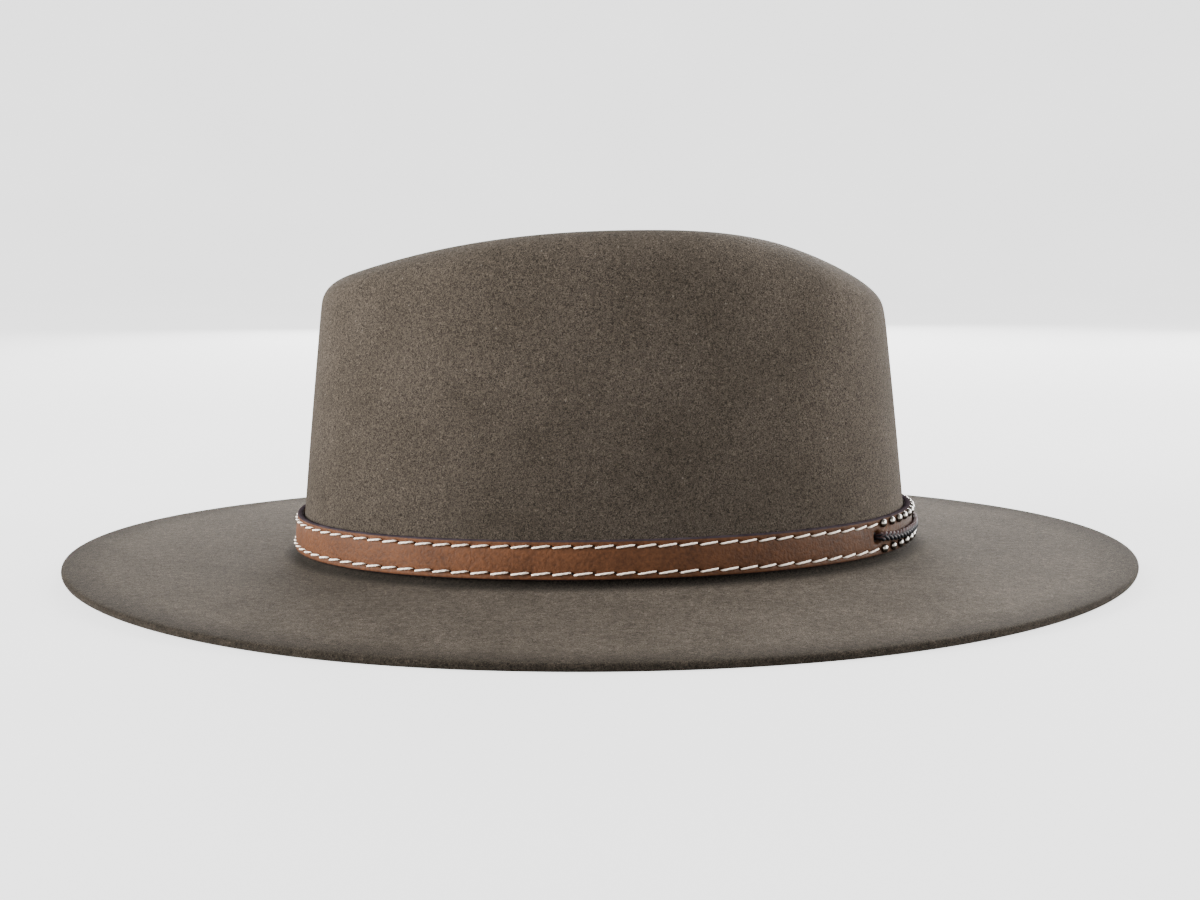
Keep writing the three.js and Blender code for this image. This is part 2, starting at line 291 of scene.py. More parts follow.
def new_ring(bm, steps, layer, cap):
    """A circle of radius 1 whose vertices know their angle. The middle of its cap is left out."""
    made = bmesh.ops.create_circle(bm, cap_ends=cap, cap_tris=cap, segments=steps, radius=1)
    ring = [v for v in made["verts"] if v.co.length > HALF_RADIUS]
    for vert in ring:
        vert[layer] = math.atan2(vert.co.y, vert.co.x)
    edges = [e for e in bm.edges if all(v.co.length > HALF_RADIUS for v in e.verts)]
    return ring, edges


def next_ring(bm, edges):
    """The ring's edges extruded once: the new vertices and the new edges."""
    made = bmesh.ops.extrude_edge_only(bm, edges=edges)["geom"]
    ring = [g for g in made if isinstance(g, bmesh.types.BMVert)]
    return ring, [g for g in made if isinstance(g, bmesh.types.BMEdge)]


def lay_ring(ring, layer, place):
    for vert in ring:
        vert.co = place(vert[layer])


print("rings of", FELT_STEPS, "vertices for the felt")


# %% Finished pieces
def finish_piece(bm, name, materials):
    """The bmesh as an object at the origin, riding on the hat's only body."""
    for face in bm.faces:
        face.smooth = True
    mesh = bpy.data.meshes.new(name)
    bm.to_mesh(mesh)
    bm.free()
    for material in materials:
        mesh.materials.append(material)
    piece = bpy.data.objects.new(name, mesh)
    bpy.context.scene.collection.objects.link(piece)
    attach(piece, BODY)
    print(name, len(mesh.vertices), "vertices", len(mesh.polygons), "faces")
    return piece


def round_off(piece, levels):
    """A subdivision surface, with the same levels in the view and in the picture."""
    rounding = piece.modifiers.new("rounding", "SUBSURF")
    rounding.levels = levels
    rounding.render_levels = levels


# %% [markdown]
# Now the finishes. Felt, leather, lace and floor all have soft patches of darker and paler colour,
# so one node group makes them. It only puts out a colour and a height, and each material sets its
# own size and strength. Image textures could do it too, but noise has no seams on a round shape.

# %% Node helpers
def new_group(name, inputs, outputs):
    """An empty node group with named sockets, and its two end nodes."""
    group = bpy.data.node_groups.new(name, "ShaderNodeTree")
    for socket, kind, value in inputs:
        made = group.interface.new_socket(socket, in_out="INPUT", socket_type="NodeSocket" + kind)
        if value is not None:
            made.default_value = value
    for socket, kind in outputs:
        group.interface.new_socket(socket, in_out="OUTPUT", socket_type="NodeSocket" + kind)
    return group, group.nodes.new("NodeGroupInput"), group.nodes.new("NodeGroupOutput")


def fill_socket(tree, socket, value):
    """Sets a number or a colour on the socket, or links another node's output to it."""
    if isinstance(value, (int, float, tuple)):
        socket.default_value = value
    else:
        tree.links.new(value, socket)


def math_node(tree, operation, *values):
    node = tree.nodes.new("ShaderNodeMath")
    node.operation = operation
    for socket, value in zip(node.inputs, values):
        fill_socket(tree, socket, value)
    return node.outputs[0]


def noise_node(tree, vector, scale, detail, roughness=0.5):
    node = tree.nodes.new("ShaderNodeTexNoise")
    node.inputs["Detail"].default_value = detail
    node.inputs["Roughness"].default_value = roughness
    tree.links.new(vector, node.inputs["Vector"])
    fill_socket(tree, node.inputs["Scale"], scale)
    return node.outputs["Fac"]


def stretch_node(tree, value, low, high):
    """Stretches values from low to high over the whole range from 0 to 1, and cuts off the rest."""
    node = tree.nodes.new("ShaderNodeMapRange")
    node.inputs["From Min"].default_value = low
    node.inputs["From Max"].default_value = high
    tree.links.new(value, node.inputs["Value"])
    return node.outputs["Result"]


def mix_colours(tree, factor, first, second, way="MIX"):
    node = tree.nodes.new("ShaderNodeMix")
    node.data_type = "RGBA"
    node.blend_type = way
    colour_sockets = (node.inputs[0], node.inputs[6], node.inputs[7])
    for socket, value in zip(colour_sockets, (factor, first, second)):
        fill_socket(tree, socket, value)
    return node.outputs[2]


print("node helpers are ready")


# %% Material helpers
def new_material(name):
    """A material with its tree, its Principled shader and the object's own coordinates."""
    material = bpy.data.materials.new(name)
    material.use_nodes = True
    tree = material.node_tree
    return material, tree, tree.nodes["Principled BSDF"], tree.nodes.new("ShaderNodeTexCoord")


def place_group(tree, group, vector, **values):
    node = tree.nodes.new("ShaderNodeGroup")
    node.node_tree = group
    tree.links.new(vector, node.inputs["Vector"])
    for name, value in values.items():
        node.inputs[name].default_value = value
    return node


def add_bump(tree, shader, height, distance, strength):
    bump = tree.nodes.new("ShaderNodeBump")
    bump.inputs["Strength"].default_value = strength
    bump.inputs["Distance"].default_value = distance
    tree.links.new(height, bump.inputs["Height"])
    tree.links.new(bump.outputs["Normal"], shader.inputs["Normal"])


def vary_roughness(tree, shader, grain, smoothest, roughest):
    """Roughness that goes with the grain, so that a gloss is never the same all over."""
    node = tree.nodes.new("ShaderNodeMapRange")
    node.inputs["To Min"].default_value = smoothest
    node.inputs["To Max"].default_value = roughest
    tree.links.new(grain, node.inputs["Value"])
    tree.links.new(node.outputs["Result"], shader.inputs["Roughness"])


print("material helpers are ready")

# %% Patches, for every soft or worn surface
NOISE_LOW = 0.3
NOISE_HIGH = 0.7
PATCH_GRAIN_SCALE = 900.0
PATCH_GRAIN_SHARE = 0.5
patches, ends_in, ends_out = new_group(
    "patches",
    [
        ("Vector", "Vector", None),
        ("Dark", "Color", (0.1, 0.1, 0.1, 1)),
        ("Pale", "Color", (0.2, 0.2, 0.2, 1)),
        ("Patch scale", "Float", 30.0),
        ("Grain scale", "Float", PATCH_GRAIN_SCALE),
        ("Grain share", "Float", PATCH_GRAIN_SHARE),
    ],
    [("Color", "Color"), ("Grain", "Float")],
)
broad = noise_node(patches, ends_in.outputs["Vector"], ends_in.outputs["Patch scale"], 3)
wide = stretch_node(patches, broad, NOISE_LOW, NOISE_HIGH)
fine = noise_node(patches, ends_in.outputs["Vector"], ends_in.outputs["Grain scale"], 2, 0.6)
crisp = stretch_node(patches, fine, NOISE_LOW, NOISE_HIGH)
blend = patches.nodes.new("ShaderNodeMix")
patches.links.new(ends_in.outputs["Grain share"], blend.inputs[0])
patches.links.new(wide, blend.inputs[2])
patches.links.new(crisp, blend.inputs[3])
toned = mix_colours(patches, blend.outputs[0], ends_in.outputs["Dark"], ends_in.outputs["Pale"])
patches.links.new(toned, ends_out.inputs["Color"])
patches.links.new(crisp, ends_out.inputs["Grain"])
print("group", patches.name, "with", len(patches.nodes), "nodes")


def add_patches(tree, vector, colours, patch_scale, grain=(PATCH_GRAIN_SCALE, PATCH_GRAIN_SHARE)):
    """The patches in a material: its dark and pale colour, and the scale and share of its grain."""
    node = place_group(tree, patches, vector, Dark=colours[0], Pale=colours[1])
    node.inputs["Patch scale"].default_value = patch_scale
    node.inputs["Grain scale"].default_value = grain[0]
    node.inputs["Grain share"].default_value = grain[1]
    return node


# %% [markdown]
# Felt is a mat of fur fibres. Close up it has a grain of about a millimetre, coarser on the brim than
# on the crown, and a few pale or dark hairs. Shade is painted into its colour: the crown is a little
# darker towards its foot and paler towards its top, and the felt is darker still in the crease there and
# towards its raw edge, so two ovals tell the material where those are. Its soft glow where the surface
# turns away is the shader's sheen. Real hairs could be grown on it, but at arm's length a nap this
# short is only texture.

# %% Felt nap
FIBRE_SHADE = (0.36, 0.36, 0.36, 1)
FIBRE_LIGHT = (2.85, 2.82, 2.76, 1)
FIBRE_CURL = 2.0
HAIR_SCALE = 420
PALE_HAIR = (0.22, 0.19, 0.16, 1)
DARK_HAIR = (0.005, 0.004, 0.004, 1)
nap, ends_in, ends_out = new_group(
    "nap",
    [
        ("Vector", "Vector", None),
        ("Color", "Color", (0.1, 0.1, 0.1, 1)),
        ("Fibre scale", "Float", 700.0),
    ],
    [("Color", "Color"), ("Height", "Float")],
)
vector = ends_in.outputs["Vector"]
fibres = noise_node(nap, vector, ends_in.outputs["Fibre scale"], 3, 0.6)
fibres.node.inputs["Distortion"].default_value = FIBRE_CURL
fibre_share = stretch_node(nap, fibres, 0.40, 0.72)
fibre_tone = mix_colours(nap, fibre_share, FIBRE_SHADE, FIBRE_LIGHT)
napped = mix_colours(nap, 1, ends_in.outputs["Color"], fibre_tone, "MULTIPLY")

specks = nap.nodes.new("ShaderNodeTexVoronoi")
specks.inputs["Scale"].default_value = HAIR_SCALE
nap.links.new(vector, specks.inputs["Vector"])
near_speck = stretch_node(nap, specks.outputs["Distance"], 0.16, 0.06)
speck_tone = nap.nodes.new("ShaderNodeSeparateColor")
nap.links.new(specks.outputs["Color"], speck_tone.inputs[0])


def rare_hair(channel, rarity, strength):
    """A mask of the few specks whose own chance number is above the rarity."""
    chosen = math_node(nap, "GREATER_THAN", speck_tone.outputs[channel], rarity)
    return math_node(nap, "MULTIPLY", math_node(nap, "MULTIPLY", near_speck, chosen), strength)


with_pale = mix_colours(nap, rare_hair(0, 0.93, 0.55), napped, PALE_HAIR)
with_dark = mix_colours(nap, rare_hair(1, 0.9, 0.6), with_pale, DARK_HAIR)
nap.links.new(with_dark, ends_out.inputs["Color"])
nap.links.new(fibre_share, ends_out.inputs["Height"])
print("group", nap.name, "with", len(nap.nodes), "nodes")

# %% Reach, for darkening along an oval
reach, ends_in, ends_out = new_group(
    "reach",
    [("Vector", "Vector", None), ("Middle", "Vector", None), ("Half size", "Vector", None)],
    [("Reach", "Float")],
)
squeezed = reach.nodes.new("ShaderNodeMapping")
squeezed.vector_type = "TEXTURE"
for given, wanted in (("Vector", "Vector"), ("Middle", "Location"), ("Half size", "Scale")):
    reach.links.new(ends_in.outputs[given], squeezed.inputs[wanted])
far = reach.nodes.new("ShaderNodeVectorMath")
far.operation = "LENGTH"
reach.links.new(squeezed.outputs["Vector"], far.inputs[0])
reach.links.new(far.outputs["Value"], ends_out.inputs["Reach"])
print("group", reach.name, "with", len(reach.nodes), "nodes")


def oval_reach(tree, vector, outline):
    """How far out of the oval's middle a place is, 1 on the oval itself."""
    middle = ((outline.front + outline.back) / 2, 0, 0)
    half_size = ((outline.back - outline.front) / 2, outline.half_width, 1)
    node = place_group(tree, reach, vector, **{"Middle": middle, "Half size": half_size})
    return node.outputs["Reach"]


# %% Felt colour
CROWN_COLOURS = ((0.038, 0.0305, 0.023, 1), (0.0585, 0.0475, 0.0375, 1))
BRIM_COLOURS = ((0.029, 0.0235, 0.0175, 1), (0.069, 0.057, 0.046, 1))
FELT_PATCHES = 45.0
CROWN_SHADE_SPAN = (12 * MM, 95 * MM)
FOOT_SHADE_TONE = (0.84, 0.84, 0.84, 1)
TOP_LIGHT_TONE = (1.03, 1.03, 1.03, 1)
CREASE_REACH = (1.02, 1.07)

felt, tree, shader, coordinates = new_material("felt")
places = coordinates.outputs["Object"]
crown_felt = add_patches(tree, places, CROWN_COLOURS, FELT_PATCHES, (1100.0, 0.4))
brim_felt = add_patches(tree, places, BRIM_COLOURS, FELT_PATCHES, (420.0, 0.68))
heights = tree.nodes.new("ShaderNodeSeparateXYZ")
tree.links.new(places, heights.inputs[0])
# Painted shade and light: the crown's colour is darker towards its foot and a little paler towards its
# top.
up_crown = stretch_node(tree, heights.outputs["Z"], *CROWN_SHADE_SPAN)
painted_crown_shade = mix_colours(tree, up_crown, FOOT_SHADE_TONE, TOP_LIGHT_TONE)
crown_with_painted_shade = mix_colours(tree, 1, crown_felt.outputs["Color"], painted_crown_shade, "MULTIPLY")
beyond_foot = stretch_node(tree, oval_reach(tree, places, FOOT), *CREASE_REACH)
both_felts = mix_colours(tree, beyond_foot, crown_with_painted_shade, brim_felt.outputs["Color"])
napped = place_group(tree, nap, places, **{"Fibre scale": 1500.0})
tree.links.new(both_felts, napped.inputs["Color"])
add_bump(tree, shader, napped.outputs["Height"], 0.3 * MM, 0.7)
print("felt is coloured")

# %% Felt with painted shade in its crease and at its rim
CREASE_HEIGHT = (9 * MM, 13 * MM)
CREASE_SHADE_TONE = (0.30, 0.30, 0.30, 1)
RIM_REACH = (0.985, 0.91)
RIM_SHADE_TONE = (0.44, 0.425, 0.40, 1)
UNCHANGED = (1, 1, 1, 1)

# Painted shade: the felt in the crease just below the band is darkened, as the band's contact shadow.
above_crease = stretch_node(tree, heights.outputs["Z"], *CREASE_HEIGHT)
unshaded = math_node(tree, "MAXIMUM", beyond_foot, above_crease)
# Painted shade: the felt darkens over its last few millimetres towards the rim, where its edge turns
# away from the light.
inside_rim = stretch_node(tree, oval_reach(tree, places, RIM), *RIM_REACH)
crease_painted_shade = mix_colours(tree, unshaded, CREASE_SHADE_TONE, UNCHANGED)
rim_painted_shade = mix_colours(tree, inside_rim, RIM_SHADE_TONE, crease_painted_shade)
felt_with_painted_shade = mix_colours(tree, 1, napped.outputs["Color"], rim_painted_shade, "MULTIPLY")
tree.links.new(felt_with_painted_shade, shader.inputs["Base Color"])
shader.inputs["Roughness"].default_value = 0.95
shader.inputs["Specular IOR Level"].default_value = 0.07
shader.inputs["Sheen Weight"].default_value = 0.045
shader.inputs["Sheen Roughness"].default_value = 0.45
shader.inputs["Sheen Tint"].default_value = (0.80, 0.70, 0.57, 1)
print("felt is ready")

# %% [markdown]
# The felt body is one skin, from the middle of the dent out to the rim. Its first circle has a fan of
# triangles, which becomes the floor of the dent, and the circle's edge is extruded ring by ring. The
# Solidify modifier then gives the skin its thickness, less in the crown than in the brim, and a
# subdivision surface rounds the whole, the cut rim too.

# %% Lines of the felt body
ROUND_SHARES = [0.85, 0.68, 0.5, 0.32, 0.16]
WALL_RISES = [1, 0.85, 0.66, 0.45, 0.25, 0.1, 0]
BREAK_TURNS = [math.pi / 6, math.pi / 3]
BRIM_SHARES = [0, 0.08, 0.22, 0.4, 0.6, 0.8, 1]
RimRow = namedtuple("RimRow", "inset drop thickness")
RIM_ROWS = [
    RimRow(6 * MM, 0, 3.0 * MM),
    RimRow(1.8 * MM, 0.12 * MM, 2.88 * MM),
    RimRow(0, 0.45 * MM, 2.5 * MM),
]

crown_lines = [lambda a, row=row: dent_point(a, row) for row in DENT_ROWS[1:]]
crown_lines.append(crest_point)
crown_lines += [lambda a, share=share: round_point(a, share) for share in ROUND_SHARES]
crown_lines += [lambda a, rise=rise: wall_point(a, rise) for rise in WALL_RISES]
break_lines = [lambda a, turn=turn: break_point(a, turn) for turn in BREAK_TURNS]
brim_lines = [lambda a, share=share: brim_point(a, share) for share in BRIM_SHARES]
felt_lines = [(line, CROWN_THICKNESS) for line in crown_lines]
felt_lines += [(line, (CROWN_THICKNESS + BRIM_THICKNESS) / 2) for line in break_lines]
felt_lines += [(line, BRIM_THICKNESS) for line in brim_lines]
felt_lines += [(lambda a, row=row: rim_point(a, row.inset, row.drop), row.thickness) for row in RIM_ROWS]
print(len(felt_lines), "lines from the dent to the rim")

# %% Felt body
bm = bmesh.new()
angle_layer = bm.verts.layers.float.new("angle")
thickness_layer = bm.verts.layers.float.new("thickness")
ring, edges = new_ring(bm, FELT_STEPS, angle_layer, cap=True)
lay_ring(ring, angle_layer, lambda a: dent_point(a, DENT_ROWS[0]))
for vert in bm.verts:
    vert[thickness_layer] = CROWN_THICKNESS
    if vert not in ring:
        vert.co = (DENT_MIDDLE.x, 0, DENT_MIDDLE.z - DENT_DEPTH)
for line, thickness in felt_lines:
    ring, edges = next_ring(bm, edges)
    lay_ring(ring, angle_layer, line)
    for vert in ring:
        vert[thickness_layer] = thickness

bmesh.ops.recalc_face_normals(bm, faces=bm.faces)
bm.normal_update()
middle_face = min(bm.faces, key=lambda face: math.hypot(*face.calc_center_median().xy))
if middle_face.normal.z < 0:
    bmesh.ops.reverse_faces(bm, faces=bm.faces)
felt_body = finish_piece(bm, "felt_hat_body", [felt])

# %% Felt thickness
THINNEST_SHARE = 0.3
thickness_group = felt_body.vertex_groups.new(name="thickness")
for vert, held in zip(felt_body.data.vertices, felt_body.data.attributes["thickness"].data):
    share = (held.value / BRIM_THICKNESS - THINNEST_SHARE) / (1 - THINNEST_SHARE)
    thickness_group.add([vert.index], share, "REPLACE")
wall = felt_body.modifiers.new("felt thickness", "SOLIDIFY")
wall.thickness = BRIM_THICKNESS
wall.offset = -1
wall.use_even_offset = True
wall.vertex_group = thickness_group.name
wall.thickness_vertex_group = THINNEST_SHARE
round_off(felt_body, 2)
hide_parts("felt_body")
print("felt walls", CROWN_THICKNESS / MM, "and", BRIM_THICKNESS / MM, "mm")

# %% [markdown]
# The band is a leather strap of two layers, stitched along both edges. It lies round the foot of the
# crown, so its place at any angle comes from the crown's wall. A strap goes by distance and not by
# angle, because stitches and studs are spaced evenly, so one table turns distance into angle.

# %% Lines of the band
BAND_GAP = 0.4 * MM
BAND_THICKNESS = 2.1 * MM
BAND_WIDTH = 12.2 * MM
BAND_MIDDLE = BAND_WIDTH / 2
BAND_FOOT = Saddle(6.2 * MM, 8.5 * MM, 1.9 * MM)


def wall_at_height(angle, height):
    foot = foot_point(angle).z
    return wall_point(angle, (height - foot) / (shoulder_point(angle).z - foot))


def band_frame(angle):
    """Where the band's lower inner edge is, the way up its face, and the way out of it."""
    height = saddle_height(BAND_FOOT, angle)
    low = wall_at_height(angle, height)
    up = (wall_at_height(angle, height + BAND_WIDTH) - low).normalized()
    out = way_out(FOOT, angle)
    out = (out - up * out.dot(up)).normalized()
    return low, up, out


def on_band(angle, level, proud):
    """A point near the band's outer face: level is up from its lower edge, proud is out of it."""
    low, up, out = band_frame(angle)
    return low + up * level + out * (BAND_GAP + BAND_THICKNESS + proud)


print("band", round(BAND_WIDTH / MM, 1), "mm wide")

# %% Distance along the band
TABLE_STEPS = 1440
table = [(-math.pi, 0.0)]
for step in range(1, TABLE_STEPS + 1):
    angle = -math.pi + 2 * math.pi * step / TABLE_STEPS
    last_angle, last_distance = table[-1]
    hop = (on_band(angle, BAND_MIDDLE, 0) - on_band(last_angle, BAND_MIDDLE, 0)).length
    table.append((angle, last_distance + hop))
BAND_LENGTH = table[-1][1]


def angle_at(distance):
    """The angle at a distance along the band from the middle of its back, to the wearer's right."""
    wanted = distance % BAND_LENGTH + BAND_LENGTH / 2
    wanted = wanted - BAND_LENGTH if wanted > BAND_LENGTH else wanted
    low, high = 0, TABLE_STEPS
    while high - low > 1:
        middle = (low + high) // 2
        low, high = (middle, high) if table[middle][1] <= wanted else (low, middle)
    share = (wanted - table[low][1]) / (table[high][1] - table[low][1])
    return mix(table[low][0], table[high][0], share)


print("band", round(BAND_LENGTH / MM, 1), "mm round")

# %% [markdown]
# The lines across the strap lie where something happens: at both sides of each stitch hole, halfway
# along each stitch, and at the lace's two holes. So the little faces between two such lines are the
# holes themselves, and one inset sinks them all. Cutting each hole with a Boolean would be slower,
# and would leave long thin triangles in the smooth leather.

# %% Places along the band
LACE_REACH = 57.35 * MM
LACE_HOLE_HALF = 1.5 * MM
STITCH_START = 56.35 * MM
STITCH_COUNT = 78
STITCH_PITCH = (BAND_LENGTH - 2 * STITCH_START) / STITCH_COUNT
HOLE_HALF = 0.5 * MM
BACK_LINES = 30

hole_places = [STITCH_START + i * STITCH_PITCH for i in range(STITCH_COUNT + 1)]
lace_places = [LACE_REACH, BAND_LENGTH - LACE_REACH]
lines_along = []
for place in hole_places:
    lines_along += [place - HOLE_HALF, place + HOLE_HALF]
    middle = place + STITCH_PITCH / 2
    if all(abs(middle - lace) > 2 * LACE_HOLE_HALF for lace in lace_places) and place < hole_places[-1]:
        lines_along.append(middle)
for place in lace_places:
    lines_along += [place - LACE_HOLE_HALF, place, place + LACE_HOLE_HALF]
back_start = hole_places[-1] + HOLE_HALF
back_length = BAND_LENGTH - back_start + hole_places[0] - HOLE_HALF
lines_along += [(back_start + back_length * i / BACK_LINES) % BAND_LENGTH for i in range(1, BACK_LINES)]
lines_along = sorted({round(line, 6) for line in lines_along})
print(len(lines_along), "lines across the band, stitches every", round(STITCH_PITCH / MM, 2), "mm")

# %% [markdown]
# Leather that has been cut, rubbed round and painted at its edge has a soft, dark rim, and stitches
# pulled tight press a shallow channel into its face. Both come from the strap's cross-section, which
# goes up its face, over its top edge, down its back and round below.

# %% Cross-section of the band
EDGE_ROUND = 0.55 * MM
LOW_STITCH = 1.95 * MM
HIGH_STITCH = 10.2 * MM
HOLE_RISE = 0.5 * MM
CHANNEL = -0.10 * MM
CROWNING = 0.12 * MM
LACE_HOLE_RISE = 2.1 * MM
Corner = namedtuple("Corner", "level proud")


def channel_corners(stitch):
    """The channel of one row of stitches, with the row's holes between its two middle corners."""
    return [
        Corner(stitch - 2 * HOLE_RISE, 0),
        Corner(stitch - HOLE_RISE, CHANNEL),
        Corner(stitch + HOLE_RISE, CHANNEL),
        Corner(stitch + 2 * HOLE_RISE, 0),
    ]


half_round = [
    Corner(0.14 * MM, -0.14 * MM),
    Corner(0, -EDGE_ROUND),
    Corner(-0.07 * MM, -BAND_THICKNESS / 2),
    Corner(0, EDGE_ROUND - BAND_THICKNESS),
    Corner(0.14 * MM, 0.14 * MM - BAND_THICKNESS),
]
middle_rows = [
    Corner(BAND_MIDDLE - LACE_HOLE_RISE, CROWNING),
    Corner(BAND_MIDDLE, CROWNING),
    Corner(BAND_MIDDLE + LACE_HOLE_RISE, CROWNING),
]
face_rows = channel_corners(LOW_STITCH) + middle_rows + channel_corners(HIGH_STITCH)
face_rows = [Corner(EDGE_ROUND, 0)] + face_rows + [Corner(BAND_WIDTH - EDGE_ROUND, 0)]
top_rows = [Corner(BAND_WIDTH - corner.level, corner.proud) for corner in half_round]
back_levels = (BAND_WIDTH - EDGE_ROUND, BAND_MIDDLE, EDGE_ROUND)
back_rows = [Corner(level, -BAND_THICKNESS) for level in back_levels]
section = face_rows + top_rows + back_rows + half_round[::-1]
print(len(section), "corners in the band's section")

# %% [markdown]
# Saddle leather is smooth, with pores that only show close up, and its colour runs a little from
# patch to patch. Light and shade are painted along it: it is paler in front and darker behind, so
# its colour is multiplied by one that changes along the hat. Its edge is painted dark mauve grey.

# %% Leather
LEATHER_COLOURS = ((0.032, 0.0120, 0.0047, 1), (0.096, 0.037, 0.0150, 1))
LIT_FRONT_LEATHER = (1.22, 1.20, 1.17, 1)
SHADED_BACK_LEATHER = (0.50, 0.54, 0.49, 1)
LIGHT_SHADE_START = -20 * MM
leather, tree, shader, coordinates = new_material("band_leather")
places = coordinates.outputs["Object"]
toned = add_patches(tree, places, LEATHER_COLOURS, 90.0, (850.0, 0.6))
lengths = tree.nodes.new("ShaderNodeSeparateXYZ")
tree.links.new(places, lengths.inputs[0])
# Painted light and shade: the leather is paler in front, as if lit, and darker behind, as if in shade.
to_back = stretch_node(tree, lengths.outputs["X"], LIGHT_SHADE_START, FOOT.back)
painted_light_along = mix_colours(tree, to_back, LIT_FRONT_LEATHER, SHADED_BACK_LEATHER)
leather_lit_and_shaded = mix_colours(tree, 1, toned.outputs["Color"], painted_light_along, "MULTIPLY")
tree.links.new(leather_lit_and_shaded, shader.inputs["Base Color"])
vary_roughness(tree, shader, toned.outputs["Grain"], 0.55, 0.7)
add_bump(tree, shader, toned.outputs["Grain"], 0.16 * MM, 0.7)
shader.inputs["Specular IOR Level"].default_value = 0.1
print("leather is ready")

# %% Edge paint
PAINT_COLOURS = ((0.017, 0.0125, 0.0145, 1), (0.047, 0.037, 0.042, 1))
edge_paint, tree, shader, coordinates = new_material("edge_paint")
toned = add_patches(tree, coordinates.outputs["Object"], PAINT_COLOURS, 150.0, (900.0, 0.4))
tree.links.new(toned.outputs["Color"], shader.inputs["Base Color"])
add_bump(tree, shader, toned.outputs["Grain"], 0.05 * MM, 0.4)
shader.inputs["Roughness"].default_value = 0.6
shader.inputs["Specular IOR Level"].default_value = 0
print("edge paint is ready")

# %% Painted shade inside a hole
HOLE_SHADE_COLOURS = ((0.004, 0.003, 0.002, 1), (0.010, 0.006, 0.004, 1))
hole_painted_shade, tree, shader, coordinates = new_material("punched_hole_shade")
toned = add_patches(tree, coordinates.outputs["Object"], HOLE_SHADE_COLOURS, 400.0)
tree.links.new(toned.outputs["Color"], shader.inputs["Base Color"])
shader.inputs["Roughness"].default_value = 0.9
print("dark of the holes is ready")

# %% First ring of the band
bm = bmesh.new()
place_layer = bm.verts.layers.float.new("distance")
ring, edges = new_ring(bm, len(lines_along), place_layer, cap=False)
ring.sort(key=lambda vert: vert[place_layer])
angle_of = {}
for vert, distance in zip(ring, lines_along):
    vert[place_layer] = distance
    angle_of[vert[place_layer]] = angle_at(distance)


def lay_band_ring(ring, corner):
    for vert in ring:
        vert.co = on_band(angle_of[vert[place_layer]], corner.level, corner.proud)


first_edges = edges
lay_band_ring(ring, section[0])
print("first ring of the band has", len(ring), "vertices")

# %% Skin of the band
NEAR = 0.01 * MM
PAINTED_BELOW = -0.1 * MM
hole_faces = []
lace_faces = []
paint_faces = []
for corner, last in zip(section[1:], section[:-1]):
    known = set(bm.faces)
    ring, edges = next_ring(bm, edges)
    lay_band_ring(ring, corner)
    row_middle = (corner.level + last.level) / 2
    row_proud = min(corner.proud, last.proud)
    in_front = row_proud > -EDGE_ROUND
    in_hole_row = in_front and any(abs(row_middle - row) < NEAR for row in (LOW_STITCH, HIGH_STITCH))
    in_lace_row = in_front and abs(row_middle - BAND_MIDDLE) < LACE_HOLE_RISE
    painted = row_proud < PAINTED_BELOW and corner not in back_rows
    for face in [face for face in bm.faces if face not in known]:
        distances = [vert[place_layer] for vert in face.verts]
        centre = (max(distances) + min(distances)) / 2
        if in_hole_row and any(abs(centre - place) < NEAR for place in hole_places):
            hole_faces.append(face)
        if in_lace_row and any(abs(centre - place) < LACE_HOLE_HALF for place in lace_places):
            lace_faces.append(face)
        if painted:
            paint_faces.append(face)
bmesh.ops.bridge_loops(bm, edges=edges + first_edges)
bmesh.ops.recalc_face_normals(bm, faces=bm.faces)
print("skin of the band has", len(bm.faces), "faces,", len(paint_faces), "of them painted")

# %% Holes and edges of the band
PAINT_INDEX = 1
HOLE_INDEX = 2
Sink = namedtuple("Sink", "faces inset depth")
for face in paint_faces:
    face.material_index = PAINT_INDEX
lace_holes = bmesh.ops.dissolve_faces(bm, faces=lace_faces)["region"]
for sink in (Sink(hole_faces, 0.12 * MM, 0.9 * MM), Sink(lace_holes, 0.15 * MM, 1.8 * MM)):
    bmesh.ops.inset_individual(bm, faces=sink.faces, thickness=sink.inset, depth=-sink.depth)
    # The sunk faces get the near-black hole colour: painted shade inside the holes.
    for face in sink.faces:
        face.material_index = HOLE_INDEX
leather_band = finish_piece(bm, "stitched_leather_band", [leather, edge_paint, hole_painted_shade])
round_off(leather_band, 1)
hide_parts("leather_band")
print(len(hole_faces), "stitch holes,", len(lace_holes), "lace holes")

# %% [markdown]
# Thread, lace strands and the like are all tubes along a path. A small circle is extruded from
# section to section, and a UV map keeps the distance along the tube and the turn round it, so that a
# twisted ply can follow it. A curve with a bevel would be quicker, but its ends could not be shaped.

# %% Tubes
Section = namedtuple("Section", "centre up out rise depth along")


def tube_point(part, turn):
    risen = part.centre + part.up * part.rise * math.cos(turn)
    return risen + part.out * part.depth * math.sin(turn)


def neighbours(vert):
    return [edge.other_vert(vert) for edge in vert.link_edges]


def tube_rings(bm, sections, sides):
    """The rings of a tube, one for each section, with their vertices in the same order."""
    ring = bmesh.ops.create_circle(bm, cap_ends=False, segments=sides, radius=1)["verts"]
    edges = list(dict.fromkeys(edge for vert in ring for edge in vert.link_edges))
    rings = []
    for part in sections:
        if rings:
            made, edges = next_ring(bm, edges)
            made = set(made)
            ring = [next(near for near in neighbours(vert) if near in made) for vert in ring]
        for number, vert in enumerate(ring):
            vert.co = tube_point(part, 2 * math.pi * number / sides)
        rings.append(ring)
    return rings


